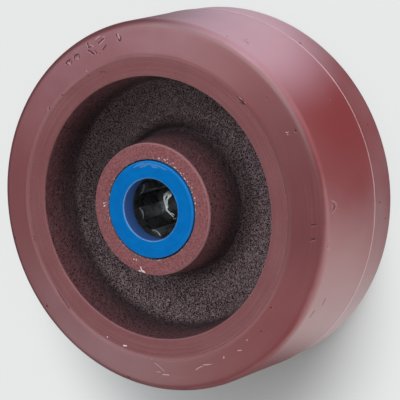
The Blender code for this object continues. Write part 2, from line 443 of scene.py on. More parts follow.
def press_marks(piece, name, marks, depth, cuts=3):
    """Cuts the faces round each mark finer, presses it in, and keeps its strength as an attribute."""
    dots = dots_along(marks)
    bpy.ops.object.mode_set(mode="EDIT")
    bpy.ops.mesh.select_mode(type="FACE")
    for cut in range(cuts):
        bpy.ops.mesh.select_all(action="DESELECT")
        faces = bmesh.from_edit_mesh(piece.data).faces
        faces.ensure_lookup_table()
        near = kdtree.KDTree(len(faces))
        for face in faces:
            near.insert(face.calc_center_median(), face.index)
        near.balance()
        for spot, width in dots:
            for _, index, _ in near.find_range(spot, width + 1.2 * MM / 2 ** cut):
                faces[index].select = True
        bmesh.update_edit_mesh(piece.data)
        bpy.ops.mesh.subdivide(number_cuts=1)
    bpy.ops.object.mode_set(mode="OBJECT")
    points = piece.data.vertices
    near = kdtree.KDTree(len(points))
    for point in points:
        near.insert(point.co, point.index)
    near.balance()
    strengths = [0.0] * len(points)
    for spot, width in dots:
        for _, index, away in near.find_range(spot, 1.5 * width):
            strengths[index] = max(strengths[index], 1 - away / (1.5 * width))
    normals = [point.normal.copy() for point in points]
    for point, normal, strength in zip(points, normals, strengths):
        point.co -= normal * depth * min(1.0, 2 * strength)
    kept = piece.data.attributes.new(name, "FLOAT", "POINT")
    kept.data.foreach_set("value", strengths)


def mark_share(tree, where, name, ragged=0.6):
    """1 on the marks that the piece keeps under this name, with torn edges, and 0 away from them."""
    strength = add_node(tree, "ShaderNodeAttribute", [], 2, attribute_name=name)
    edge = lumps_of(tree, where, 0.5 * MM, 3.0, 0.7)
    edge = add_node(tree, "ShaderNodeMapRange", [edge, 0.3, 0.7, 1 - ragged, 1 + ragged])
    torn = add_node(tree, "ShaderNodeMath", [strength, edge], operation="MULTIPLY")
    return fade(tree, torn, 0.15, 0.45)


# Each mark is a dot, or a stroke from place to place, and half its width in millimetres. A
# place is an angle in degrees, a radius and a height in millimetres.
dark_marks = (
    ((2.9, 58.0, 25.0), (0.4, 59.0, 24.7), 0.22),
    ((1.5, 55.4, 25.8), (0.0, 56.5, 25.5), 0.20),
    ((7.2, 59.9, 24.4), (7.0, 58.1, 25.0), 0.20),
    ((7.5, 57.4, 25.2), (5.5, 55.3, 25.8), 0.26),
    ((4.8, 56.2, 25.6), (4.3, 55.1, 25.9), 0.20),
    ((3.3, 54.7, 26.0), 0.22),
    ((7.0, 58.1, 25.0), (5.9, 58.3, 24.9), 0.16),
    ((-4.6, 59.0, 24.7), (-4.7, 58.0, 25.0), 0.18),
    ((-6.1, 57.8, 25.1), (-6.3, 56.9, 25.3), (-5.8, 56.5, 25.5), (-5.2, 57.2, 25.3), 0.22),
    ((11.8, 58.1, 25.0), (12.6, 58.4, 24.9), (13.5, 58.3, 24.9), (13.9, 57.7, 25.1), 0.26),
    ((11.5, 57.5, 25.2), (11.9, 56.8, 25.4), 0.16),
    ((15.8, 58.4, 24.9), (16.6, 58.5, 24.9), (17.7, 58.2, 25.0), 0.26),
    ((15.4, 57.7, 25.1), (15.6, 57.0, 25.3), 0.16),
    ((17.7, 58.2, 25.0), (17.3, 57.4, 25.2), 0.15),
    ((29.0, 49.3, 27.0), (29.7, 48.9, 27.0), 0.18),
    ((33.1, 51.6, 27.0), (33.7, 51.2, 27.0), 0.18),
    ((25.3, 50.6, 27.0), 0.30),
    ((26.6, 49.7, 27.0), 0.26),
    ((77.3, 48.9, 27.0), (82.5, 49.6, 27.0), 0.15),
    ((82.5, 49.6, 27.0), (87.3, 50.5, 27.0), 0.16),
    ((78.7, 49.7, 27.0), (78.8, 48.3, 27.0), 0.15),
    ((83.0, 50.3, 27.0), (83.3, 48.5, 27.0), 0.15),
    ((85.7, 50.6, 27.0), (86.0, 49.4, 27.0), 0.15),
    ((105.5, 50.0, 27.0), (111.4, 50.6, 27.0), (116.8, 50.9, 27.0), 0.15),
    ((160.9, 48.4, 27.0), (168.8, 49.4, 27.0), 0.15),
    ((-176.5, 49.9, 27.0), (-169.6, 50.1, 27.0), 0.15),
    ((-60.1, 50.3, 27.0), (-61.8, 50.4, 27.0), 0.30),
    ((-62.3, 50.4, 27.0), (-62.7, 50.4, 27.0), 0.42),
    ((-59.1, 50.4, 27.0), (-59.6, 50.2, 27.0), 0.18),
    ((-80.7, 59.4, 24.6), 0.34),
    ((-66.9, 57.1, 25.3), 0.20),
    ((-143.9, 52.6, 26.7), 0.30),
    ((-153.7, 54.7, 26.0), 0.26),
    ((-111.2, 57.9, 25.0), (-110.9, 59.2, 24.6), 0.24),
    ((-116.0, 58.1, 25.0), (-115.6, 58.9, 24.7), 0.26),
    ((-115.6, 58.9, 24.7), (-115.4, 59.4, 24.6), 0.16),
    ((-45.8, 62.5, 15.4), (-46.6, 62.5, 14.7), 0.16),
    ((-47.1, 62.5, 15.2), (-48.2, 62.5, 15.5), 0.20),
    ((-46.0, 62.5, 13.1), (-46.4, 62.5, 12.9), 0.15),
    ((-52.5, 62.5, -11.8), (-52.9, 62.5, -11.6), 0.34),
    ((-42.6, 62.5, 19.7), 0.28),
    ((-85.4, 62.5, -16.3), 0.36),
    ((-109.4, 62.5, -13.9), 0.40),
    ((-115.0, 62.5, -18.5), 0.40),
    ((-64.4, 62.5, -11.1), 0.24),
    ((-105.0, 62.5, 18.4), (-106.2, 62.5, 17.5), (-107.1, 62.5, 18.5), 0.16),
    ((-114.2, 62.5, 24.1), (-115.0, 62.5, 22.4), (-115.7, 62.5, 23.0), 0.18),
    ((-116.5, 62.5, 23.0), (-117.8, 62.5, 21.3), 0.16),
    ((-128.3, 62.5, 24.8), (-129.9, 62.5, 24.8), 0.20),
    ((-136.4, 62.5, 12.6), (-138.5, 62.5, 12.8), 0.18),
    ((-139.9, 62.5, 16.8), (-142.2, 62.5, 17.5), 0.18),
    ((-71.9, 62.5, 0.8), 0.20),
    ((84.6, 60.4, 24.1), (85.0, 60.6, 23.8), 0.45),
    ((109.5, 59.2, 24.6), (109.9, 59.1, 24.7), 0.35),
    ((146.8, 60.8, 23.7), (147.8, 60.7, 23.8), 0.35),
)
pale_marks = (
    ((0.3, 59.3, 24.6), 0.30),
    ((1.9, 60.2, 24.3), (3.8, 59.6, 24.5), 0.15),
    ((2.6, 57.6, 25.1), (0.1, 58.5, 24.9), 0.15),
    ((6.2, 58.8, 24.8), (5.1, 57.9, 25.0), 0.16),
    ((-5.3, 58.9, 24.7), (-5.7, 57.7, 25.1), 0.15),
    ((13.2, 57.5, 25.2), (12.5, 56.6, 25.4), 0.16),
    ((16.8, 57.9, 25.0), (16.2, 56.9, 25.3), 0.15),
    ((29.0, 49.9, 27.0), (29.9, 49.3, 27.0), 0.20),
    ((33.4, 52.2, 26.8), (34.3, 51.6, 27.0), 0.15),
    ((26.6, 48.9, 27.0), 0.22),
    ((10.5, 51.4, 27.0), 0.22),
    ((79.2, 48.6, 27.0), (82.4, 49.0, 27.0), 0.15),
    ((83.6, 49.1, 27.0), (85.8, 49.5, 27.0), 0.15),
    ((157.6, 51.4, 27.0), 0.18),
    ((158.7, 52.6, 26.7), (160.1, 53.4, 26.4), 0.18),
    ((160.1, 53.4, 26.4), (162.0, 55.2, 25.9), 0.15),
    ((161.2, 56.4, 25.5), (163.5, 56.4, 25.5), 0.24),
    ((159.0, 55.7, 25.7), (160.3, 55.6, 25.7), 0.15),
    ((175.1, 55.1, 25.9), (176.6, 54.6, 26.1), 0.18),
    ((176.6, 54.6, 26.1), (178.1, 54.4, 26.1), 0.15),
    ((178.9, 54.1, 26.2), (-179.6, 54.4, 26.1), 0.22),
    ((-179.6, 54.4, 26.1), (-178.1, 54.6, 26.1), 0.15),
    ((-172.0, 53.9, 26.3), (-172.4, 54.3, 26.1), 0.22),
    ((-165.8, 54.4, 26.1), (-164.7, 54.9, 26.0), 0.20),
    ((-160.2, 53.5, 26.4), 0.26),
    ((-59.6, 50.6, 27.0), (-60.8, 50.8, 27.0), 0.16),
    ((-62.5, 50.9, 27.0), (-62.9, 51.0, 27.0), 0.16),
    ((-79.6, 56.5, 25.5), (-80.7, 57.7, 25.1), 0.15),
    ((-80.5, 56.7, 25.4), (-80.9, 57.2, 25.3), 0.15),
    ((-71.2, 62.5, 0.5), 0.18),
    ((-71.5, 62.5, -0.8), 0.18),
    ((-71.8, 62.5, 2.0), 0.18),
    ((-72.2, 62.5, -0.5), 0.18),
    ((-72.6, 62.5, 2.2), 0.18),
    ((-72.7, 62.5, 0.8), 0.16),
    ((-75.0, 62.5, -0.3), 0.22),
    (
        (-104.2, 62.5, 19.6), (-104.9, 62.5, 17.1), (-106.2, 62.5, 16.1), (-107.2, 62.5, 17.3),
        (-108.0, 62.5, 19.5), 0.15,
    ),
    ((-105.1, 62.5, 19.5), (-106.3, 62.5, 19.5), 0.15),
    ((-114.5, 62.5, 22.3), (-115.8, 62.5, 21.5), (-116.4, 62.5, 22.3), 0.15),
    ((-117.8, 62.5, 20.6), (-118.6, 62.5, 21.5), 0.15),
    ((-139.3, 62.5, 11.0), (-137.6, 62.5, 10.9), 0.15),
)

press_marks(tyre, "dark_marks", dark_marks, 0.16 * MM)
press_marks(tyre, "pale_marks", pale_marks, 0.05 * MM)

polyurethane, tree, shader, where = make_finish("polyurethane")
radius, height = distances(tree, where)
streaks = lumps_of(tree, round_the_axis(tree, where, 30 * MM, 0.9 * MM), 1.0, 3.0, 0.6)
clouds = lumps_of(tree, where, 20 * MM, 3.0)
speckle = lumps_of(tree, where, 0.8 * MM, 3.0, 0.7)
dark = mark_share(tree, where, "dark_marks")
pale = mark_share(tree, where, "pale_marks")
edge_wander = add_node(tree, "ShaderNodeMapRange", [clouds, 0.3, 0.7, -0.3 * MM, 0.3 * MM])
side_place = add_node(tree, "ShaderNodeMath", [radius, edge_wander], operation="ADD")
on_side_face = fade(tree, side_place, tread_radius - 0.9 * MM, tread_radius - 1.7 * MM)
# Haze on the side face, partly a painted sheen, paler in two soft patches.
haze_and_sheen = round_place(tree, where, haze_sheen_place, haze_sheen_reach, 0.2, 0.62, first=0.06)
dust_and_sheen = round_place(tree, where, dust_sheen_place, dust_sheen_reach, 0.2, 0.42)
haze_and_sheen = reckon(tree, "ADD", haze_and_sheen, dust_and_sheen)
# Dust on the tread, partly a painted reflection: pale all round and behind the seam, except in a red core.
dust_and_sheen = round_place(tree, where, red_core_place, red_core_reach, 0.15, 0.0, first=0.50)
behind_seam = fade(tree, height, seam_place + 0.5 * MM, seam_place - 0.5 * MM, last=0.26)
dust_and_sheen = reckon(tree, "ADD", dust_and_sheen, behind_seam)
# A painted highlight in a soft mauve patch on the tread.
tread_highlight = round_place(tree, where, tread_highlight_place, tread_highlight_reach, 0.3, 0.60)
# Painted shade darkens the outer edge of the side face in two soft patches.
shaded_side = round_place(tree, where, shaded_side_place, shaded_side_reach, 0.3, 0.60)
on_side = fade(tree, side_place, tread_radius - 0.3 * MM, tread_radius - 1.0 * MM)
shaded_edge = round_place(tree, where, shaded_edge_place, shaded_edge_reach, 0.6, 0.80)
on_edge = fade(tree, side_place, tread_radius - 2.7 * MM, tread_radius - 1.3 * MM)
cloudy = fade(tree, clouds, 0.2, 0.8, 0.3, 0.9)
joint_dirt = fade(tree, radius, tyre_bore + 0.40 * MM, tyre_bore + 0.10 * MM, last=0.15)
seam_share = fade(tree, radius, tread_radius - 0.01 * MM, tread_radius + 0.05 * MM)
# Dust with a painted reflection on the tread.
tread_colour = mixed(tree, reckon(tree, "MULTIPLY", dust_and_sheen, cloudy), red, tread_dust_and_sheen)
# A painted highlight on the tread.
tread_colour = mixed(tree, tread_highlight, tread_colour, tread_highlight_mauve)
# Haze with a painted sheen on the side face.
side_colour = mixed(tree, reckon(tree, "MULTIPLY", haze_and_sheen, cloudy), side_red, haze_and_sheen_mauve)
colour = mixed(tree, on_side_face, tread_colour, side_colour)
# Painted shade on the side's outer edge.
colour = mixed(tree, reckon(tree, "MULTIPLY", shaded_side, on_side), colour, edge_shade_red)
colour = mixed(tree, reckon(tree, "MULTIPLY", shaded_edge, on_edge), colour, edge_shade_red)
streaks_share = fade(tree, on_side_face, 0, 1, 0.03, 0.08)
streaks_share = reckon(tree, "MULTIPLY", fade(tree, streaks, 0.45, 0.80), streaks_share)
colour = mixed(tree, streaks_share, colour, haze_and_sheen_mauve)
colour = mixed(tree, fade(tree, speckle, 0.62, 0.75, last=0.18), colour, dirt)
colour = mixed(tree, reckon(tree, "MULTIPLY", seam_share, 0.9), colour, worn)
colour = mixed(tree, joint_dirt, colour, dirt)
colour = mixed(tree, reckon(tree, "MULTIPLY", dark, 0.9), colour, dent)
colour = mixed(tree, reckon(tree, "MULTIPLY", pale, 0.65), colour, worn)
tree.links.new(colour, shader.inputs["Base Color"])
rough = fade(tree, clouds, 0.3, 0.7, 0.30, 0.38)
rough = reckon(tree, "ADD", rough, reckon(tree, "MULTIPLY", streaks, 0.08))
tree.links.new(rough, shader.inputs["Roughness"])
tree.links.new(fade(tree, dark, 0.0, 1.0, 1.0, 0.1), shader.inputs["Specular IOR Level"])
tree.links.new(fade(tree, dark, 0.0, 1.0, 0.35, 0.0), shader.inputs["Coat Weight"])
shader.inputs["Coat Roughness"].default_value = 0.35
skin = relief(tree, lumps_of(tree, where, 1.4 * MM, 2.0), 0.012 * MM)
skin = relief(tree, reckon(tree, "MULTIPLY", streaks, on_side_face), 0.010 * MM, skin)
tree.links.new(skin, shader.inputs["Normal"])
tyre.data.materials.append(polyurethane)
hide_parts("tyre")
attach(tyre, "wheel")

# Wheel centre. One iron casting: hub, web and rim. The hub's ends and the rim's
# edges are turned and painted maroon, and the recess keeps its rough sand-cast
# skin, which only the mist of that paint has reached.
hub_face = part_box("wheel_centre")[1].z
rim_face = tyre_face
web_face = 6.5 * MM
hub_bore = 16.15 * MM
bearing_seat = 16.6 * MM
seat_floor = 23.7 * MM
seat_chamfer = 0.4 * MM
hub_radius = 22.1 * MM
hub_draft = math.radians(5.0)
hub_fillet = 6.0 * MM
rim_mouth = 44.04 * MM
rim_draft = math.radians(8.0)
rim_fillet = 7.5 * MM
cast_step = 0.8 * MM
paint_step = 2.0 * MM
cast_sides = 288
paint = (0.180, 0.050, 0.054)
hub_paint = (0.250, 0.070, 0.075)
paint_pale = (0.36, 0.20, 0.21)
paint_cloud = (0.235, 0.085, 0.090)
paint_dark = (0.060, 0.026, 0.030)
rubbed_paint_and_highlight = (0.50, 0.36, 0.37)
paint_speck = (0.75, 0.70, 0.70)
bare_iron = (0.66, 0.52, 0.42)
cast_dark = (0.016, 0.008, 0.009)
cast_grey = (0.042, 0.024, 0.027)
cast_grain = (0.48, 0.345, 0.365)
paint_mist = (0.088, 0.022, 0.026)
web_shade_place = (38.0, 36.0, 6.5)
web_shade_reach = 58 * MM

front_half = (
    (hub_bore, seat_floor, 0, 0),
    (bearing_seat, seat_floor, 0, 0),
    (bearing_seat, hub_face, seat_chamfer, 2),
    (hub_radius, hub_face, 0.5 * MM, 4),
    (hub_radius + (hub_face - web_face) * math.tan(hub_draft), web_face, hub_fillet, 10),
    (rim_mouth - (rim_face - web_face) * math.tan(rim_draft), web_face, rim_fillet, 12),
    (rim_mouth, rim_face, 0.3 * MM, 3),
    (rim_radius, rim_face, 0, 0),
)
back_half = tuple(
    (radius, -height, rounding, steps) for radius, height, rounding, steps in reversed(front_half)
)
centre = draw_section("cast_centre", front_half + back_half)
cut_long_edges(centre, cast_step, low=hub_radius, high=rim_mouth)
cut_long_edges(centre, paint_step, low=bearing_seat + paint_step / 2, high=rim_radius - paint_step / 2)
spin_section(centre, cast_sides, 35.0)


def in_recess(point, margin=0.1 * MM):
    """Whether a point of the casting lies in the recess, off its edges by a margin."""
    return hub_radius + margin < math.hypot(point.x, point.y) < rim_mouth - margin


def on_rough_wall(point):
    """Whether a point lies in the recess where the sand has left it rough, below its smooth mouth."""
    return in_recess(point, 0.6 * MM)


make_uneven(centre, "cast_lumps", 4.5 * MM, 0.35 * MM, on_rough_wall, rest=0.5)
make_uneven(centre, "cast_grain", 1.3 * MM, 0.26 * MM, on_rough_wall, rest=0.5)

paint_specks = (
    ((68.0, 18.6, 29.3), 0.22),
    ((70.4, 18.2, 29.3), (71.0, 18.6, 29.3), 0.20),
    ((67.0, 17.9, 29.3), 0.16),
    ((137.6, 18.7, 29.3), 0.22),
    ((140.4, 18.5, 29.3), 0.22),
    ((148.6, 21.2, 29.3), (152.0, 21.6, 29.3), 0.26),
    ((147.2, 20.2, 29.3), (148.6, 21.2, 29.3), 0.18),
    ((146.0, 21.7, 29.3), (147.6, 21.7, 29.3), 0.18),
    ((-24.0, 17.3, 29.3), 0.13),
    ((-30.0, 17.6, 29.3), (-30.8, 17.6, 29.3), 0.15),
    ((-33.5, 18.1, 29.3), 0.12),
    ((-37.0, 17.8, 29.3), (-38.5, 17.8, 29.3), 0.14),
    ((-40.0, 18.4, 29.3), (-40.6, 18.4, 29.3), 0.13),
    ((-41.5, 17.3, 29.3), 0.15),
    ((-45.0, 17.5, 29.3), (-45.8, 17.5, 29.3), 0.12),
    ((-48.0, 18.2, 29.3), 0.14),
    ((-51.0, 17.3, 29.3), (-52.5, 17.3, 29.3), 0.13),
    ((-53.0, 17.5, 29.3), (-53.6, 17.5, 29.3), 0.15),
    ((-57.0, 17.2, 29.3), 0.12),
    ((-61.0, 17.3, 29.3), (-61.8, 17.3, 29.3), 0.14),
    ((-64.0, 17.9, 29.3), 0.13),
    ((-68.5, 17.2, 29.3), (-70.0, 17.2, 29.3), 0.15),
    ((-73.0, 17.4, 29.3), (-73.6, 17.4, 29.3), 0.12),
    ((-78.0, 17.3, 29.3), 0.14),
    ((-81.0, 17.8, 29.3), (-81.8, 17.8, 29.3), 0.13),
    ((-86.0, 17.2, 29.3), 0.15),
    ((-92.0, 17.5, 29.3), (-93.5, 17.5, 29.3), 0.12),
    ((-98.0, 17.2, 29.3), (-98.6, 17.2, 29.3), 0.14),
    ((136.7, 49.5, 27.0), 0.24),
    ((144.6, 49.5, 27.0), (145.8, 49.2, 27.0), 0.22),
)
paint_nicks = (
    ((4.9, 48.6, 27.0), (4.0, 48.7, 27.0), 0.22),
    ((3.2, 48.4, 27.0), (2.8, 47.9, 27.0), 0.22),
    ((6.0, 48.3, 27.0), 0.20),
    ((11.0, 49.9, 27.0), (10.4, 49.6, 27.0), 0.26),
    ((-61.6, 49.9, 27.0), (-62.4, 49.9, 27.0), 0.30),
)
press_marks(centre, "paint_specks", paint_specks, 0.02 * MM)
press_marks(centre, "paint_nicks", paint_nicks, 0.10 * MM)

painted, tree, shader, where = make_finish("painted_iron")
radius, height = distances(tree, where)
lathe_lines = lumps_of(tree, round_the_axis(tree, where, 60 * MM, 0.55 * MM), 1.0, 4.0, 0.7)
sand = lumps_of(tree, where, 0.55 * MM, 3.0, 0.75)
clouds = lumps_of(tree, where, 12 * MM, 3.0)
on_rim = fade(tree, radius, hub_radius, rim_mouth)
# The rims of the rim's mouth, the rim's outer edge and the hub's face are paler: partly rubbed paint,
# partly a painted highlight.
rubbed_edge_and_highlight = reckon(
    tree, "ADD",
    fade(tree, radius, rim_mouth + 0.35 * MM, rim_mouth + 0.1 * MM, last=0.25),
    fade(tree, radius, rim_radius - 0.45 * MM, rim_radius - 0.15 * MM, last=0.25),
)
rubbed_edge_and_highlight = reckon(tree, "MULTIPLY", rubbed_edge_and_highlight, on_rim)
hub_edge = add_node(tree, "ShaderNodeMath", [radius, -hub_radius], operation="ADD")
hub_edge = add_node(tree, "ShaderNodeMath", [hub_edge], operation="ABSOLUTE")
rubbed_edge_and_highlight = reckon(tree, "ADD", rubbed_edge_and_highlight, fade(tree, hub_edge, 0.4 * MM, 0.1 * MM, last=0.6))
rubbed_edge_and_highlight = reckon(tree, "MULTIPLY", rubbed_edge_and_highlight, fade(tree, sand, 0.40, 0.60))
chips = fade(tree, radius, bearing_seat + 0.8 * MM, bearing_seat + 0.4 * MM)
chips = reckon(tree, "MULTIPLY", chips, fade(tree, sand, 0.56, 0.62))
seat_shade = fade(tree, radius, bearing_seat + 0.6 * MM, bearing_seat + 0.2 * MM, last=0.6)
specks = mark_share(tree, where, "paint_specks")
nicks = mark_share(tree, where, "paint_nicks")
colour = mixed(tree, on_rim, hub_paint, paint)
colour = mixed(tree, fade(tree, clouds, 0.3, 0.7, last=0.35), colour, paint_cloud)
lines_share = reckon(tree, "MULTIPLY", fade(tree, lathe_lines, 0.35, 0.75), on_rim)
colour = mixed(tree, reckon(tree, "MULTIPLY", lines_share, 0.20), colour, paint_pale)
dark_grain = fade(tree, sand, 0.48, 0.60, last=0.60)
dark_grain = reckon(tree, "SUBTRACT", dark_grain, reckon(tree, "MULTIPLY", on_rim, 0.45))
colour = mixed(tree, dark_grain, colour, paint_dark)
pale_grain = fade(tree, sand, 0.46, 0.36, last=0.35)
pale_grain = reckon(tree, "SUBTRACT", pale_grain, reckon(tree, "MULTIPLY", on_rim, 0.25))
colour = mixed(tree, pale_grain, colour, paint_pale)
# Paler rims: partly rubbed paint, partly a painted highlight.
colour = mixed(tree, reckon(tree, "MULTIPLY", rubbed_edge_and_highlight, 0.6), colour, rubbed_paint_and_highlight)
colour = mixed(tree, seat_shade, colour, paint_dark)
colour = mixed(tree, reckon(tree, "MULTIPLY", chips, 0.8), colour, bare_iron)
colour = mixed(tree, reckon(tree, "MULTIPLY", nicks, 0.7), colour, dirt)
colour = mixed(tree, reckon(tree, "MULTIPLY", specks, 0.85), colour, paint_speck)
tree.links.new(colour, shader.inputs["Base Color"])
tree.links.new(fade(tree, sand, 0.3, 0.7, 0.40, 0.56), shader.inputs["Roughness"])
skin = relief(tree, sand, 0.10 * MM)
skin = relief(tree, reckon(tree, "MULTIPLY", lathe_lines, on_rim), 0.012 * MM, skin)
tree.links.new(skin, shader.inputs["Normal"])

sand_cast, tree, shader, where = make_finish("sand_cast_iron")
radius, height = distances(tree, where)
depth = add_node(tree, "ShaderNodeMath", [height], operation="ABSOLUTE")
grit = lumps_of(tree, where, 0.65 * MM, 1.0, 0.6)
coarse = lumps_of(tree, where, 1.6 * MM, 3.0, 0.6)
clouds = lumps_of(tree, where, 9 * MM, 3.0)
on_web = fade(tree, depth, web_face + 6.5 * MM, web_face + 1.5 * MM)
mist = fade(tree, depth, web_face + 3.5 * MM, rim_face - 2.0 * MM)
mist = reckon(tree, "MULTIPLY", mist, fade(tree, coarse, 0.3, 0.6, 0.6, 1.0))
colour = mixed(tree, fade(tree, coarse, 0.35, 0.65), cast_dark, cast_grey)
colour = mixed(tree, reckon(tree, "MULTIPLY", fade(tree, clouds, 0.35, 0.7), 0.35), colour, cast_dark)
colour = mixed(tree, mist, colour, paint_mist)
ridges = add_node(tree, "ShaderNodeMath", [grit, -0.5], operation="ADD")
ridges = fade(tree, add_node(tree, "ShaderNodeMath", [ridges], operation="ABSOLUTE"), 0.085, 0.015)
# Pale grain tips, strongest on the web: partly dust, partly a painted sheen on the faces turned up.
grain_tips_and_sheen = reckon(tree, "MULTIPLY", ridges, fade(tree, on_web, 0.0, 1.0, 0.2, 1.0))
colour = mixed(tree, reckon(tree, "MULTIPLY", grain_tips_and_sheen, 0.78), colour, cast_grain)
pits = fade(tree, grit, 0.40, 0.30)
colour = mixed(tree, reckon(tree, "MULTIPLY", pits, 0.95), colour, cast_dark)
# Painted shade darkens the web in a soft patch and in a ring round the foot of the hub.
web_shade = reckon(
    tree, "ADD",
    round_place(tree, where, web_shade_place, web_shade_reach, 0.3, 0.55),
    fade(tree, radius, hub_radius + 7.5 * MM, hub_radius + 2.0 * MM, last=0.6),
)
colour = mixed(tree, reckon(tree, "MULTIPLY", web_shade, on_web), colour, cast_dark)
tree.links.new(colour, shader.inputs["Base Color"])
tree.links.new(fade(tree, grit, 0.3, 0.7, 0.72, 0.48), shader.inputs["Roughness"])
shader.inputs["Specular IOR Level"].default_value = 0.35
skin = relief(tree, coarse, 0.25 * MM)
skin = relief(tree, ridges, 0.10 * MM, skin)
tree.links.new(skin, shader.inputs["Normal"])

centre.data.materials.append(painted)
centre.data.materials.append(sand_cast)
bpy.ops.object.mode_set(mode="EDIT")
bpy.ops.mesh.select_mode(type="FACE")
bpy.ops.mesh.select_all(action="DESELECT")
faces = bmesh.from_edit_mesh(centre.data).faces
for face in faces:
    face.select = in_recess(face.calc_center_median())
bmesh.update_edit_mesh(centre.data)
centre.active_material_index = 1
bpy.ops.object.material_slot_assign()
bpy.ops.object.mode_set(mode="OBJECT")
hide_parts("wheel_centre")
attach(centre, "wheel")

# Retainers. A ring of blue nylon is pressed into each end of the hub and keeps the
# bearing in. Each is turned or moulded smooth, with a rounded rim.
retainer_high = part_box("retainer_front")[1]
retainer_radius = retainer_high.x
retainer_bore = 10.4 * MM
retainer_rounding = 0.6 * MM
retainer_bore_rounding = 0.4 * MM
retainer_inner_rounding = 0.15 * MM
retainer_step = 1.0 * MM
retainer_sides = 192
blue = (0.0, 0.145, 0.450)
blue_pale = (0.0, 0.240, 0.600)
blue_shade = (0.004, 0.045, 0.160)
blue_bore_shade = (0.036, 0.085, 0.240)
blue_highlight = (0.28, 0.50, 0.80)
blue_cloud = (0.0, 0.105, 0.350)
blue_smear = (0.45, 0.60, 0.75)

smear_marks = (
    ((4.0, 15.0, 30.0), (-2.0, 15.3, 30.0), 0.30),
    ((-2.0, 15.3, 30.0), (-10.0, 15.4, 30.0), 0.36),
    ((-12.0, 15.2, 30.0), (-21.0, 15.4, 30.0), 0.34),
    ((-22.0, 15.1, 30.0), (-30.0, 15.3, 30.0), 0.40),
    ((-32.0, 15.3, 30.0), (-44.0, 15.2, 30.0), 0.30),
    ((-5.0, 14.5, 30.0), (-14.0, 14.7, 30.0), 0.26),
    ((-24.0, 14.4, 30.0), (-31.0, 14.6, 30.0), 0.26),
)

nylon, tree, shader, where = make_finish("blue_nylon")
radius, height = distances(tree, where)
ring_lines = lumps_of(tree, round_the_axis(tree, where, 40 * MM, 0.35 * MM), 1.0, 3.0, 0.6)
clouds = lumps_of(tree, where, 5 * MM, 3.0)
crumbs = lumps_of(tree, where, 0.35 * MM, 2.0, 0.7)
smear = mark_share(tree, where, "smear", ragged=0.7)
rim_share = fade(tree, radius, retainer_radius - 1.0 * MM, retainer_radius - 0.3 * MM)
colour = mixed(tree, fade(tree, clouds, 0.3, 0.7, last=0.5), blue, blue_cloud)
colour = mixed(tree, reckon(tree, "MULTIPLY", fade(tree, ring_lines, 0.4, 0.8), 0.25), colour, blue_pale)
colour = mixed(tree, reckon(tree, "MULTIPLY", rim_share, 0.10), colour, blue_pale)
colour = mixed(tree, fade(tree, crumbs, 0.68, 0.80, last=0.5), colour, blue_shade)
# Painted shade: the wall of the bore is a darker, purplish blue.
bore_shade_share = fade(tree, radius, retainer_bore + 0.25 * MM, retainer_bore)
colour = mixed(tree, bore_shade_share, colour, blue_bore_shade)
off_middle = add_node(tree, "ShaderNodeMath", [height], operation="ABSOLUTE")
on_end = fade(tree, off_middle, retainer_high.z - 0.6 * MM, retainer_high.z - 0.3 * MM)
# A painted highlight lines the rounded edges of the outer end, strongest round the bore.
edge_highlight = reckon(
    tree, "ADD",
    fade(tree, radius, retainer_bore + 0.42 * MM, retainer_bore + 0.22 * MM, last=0.45),
    fade(tree, radius, retainer_radius - 0.45 * MM, retainer_radius - 0.25 * MM, last=0.08),
)
edge_highlight = reckon(tree, "MULTIPLY", edge_highlight, fade(tree, crumbs, 0.3, 0.6, 0.4, 1.0))
colour = mixed(tree, reckon(tree, "MULTIPLY", edge_highlight, on_end), colour, blue_highlight)
colour = mixed(tree, reckon(tree, "MULTIPLY", smear, 0.12), colour, blue_smear)
tree.links.new(colour, shader.inputs["Base Color"])
tree.links.new(fade(tree, clouds, 0.3, 0.7, 0.42, 0.55), shader.inputs["Roughness"])
shader.inputs["Specular IOR Level"].default_value = 0.06
skin = relief(tree, ring_lines, 0.012 * MM)
skin = relief(tree, crumbs, 0.008 * MM, skin)
tree.links.new(skin, shader.inputs["Normal"])

for end in ("front", "back"):
    low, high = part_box("retainer_" + end)
    outer, inner = (high.z, low.z) if end == "front" else (low.z, high.z)
    retainer = draw_section("nylon_retainer_" + end, (
        (retainer_bore, inner, retainer_inner_rounding, 1),
        (retainer_radius, inner, retainer_inner_rounding, 1),
        (retainer_radius, outer, retainer_rounding, 5),
        (retainer_bore, outer, retainer_bore_rounding, 4),
    ))
    cut_long_edges(retainer, retainer_step)
    spin_section(retainer, retainer_sides, 40.0)
    make_uneven(retainer, "retainer_waves_" + end, 6 * MM, 0.04 * MM)
    if end == "front":
        press_marks(retainer, "smear", smear_marks, 0.0)
    retainer.data.materials.append(nylon)
    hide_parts("retainer_" + end)
    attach(retainer, "wheel")

# Roller cage. A tube of black nylon with eight pockets that keep the rollers apart.
# It turns loosely in the hub's bore, and it is dark with old grease.
cage_low, cage_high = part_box("roller_cage")
cage_radius = cage_high.x
cage_bore = 10.8 * MM
cage_rounding = 0.3 * MM
cage_sides = 192
roller_count = 8
roller_low, roller_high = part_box("roller_1")
roller_radius = (roller_high.y - roller_low.y) / 2
roller_length = roller_high.z - roller_low.z
pitch_radius = (roller_high.x + roller_low.x) / 2
pocket_radius = roller_radius + 0.25 * MM
pocket_length = roller_length + 0.6 * MM
pocket_edge = 0.12 * MM
nylon_black = (0.010, 0.011, 0.012)
nylon_grey = (0.034, 0.036, 0.036)
nylon_crumbs = (0.16, 0.15, 0.13)

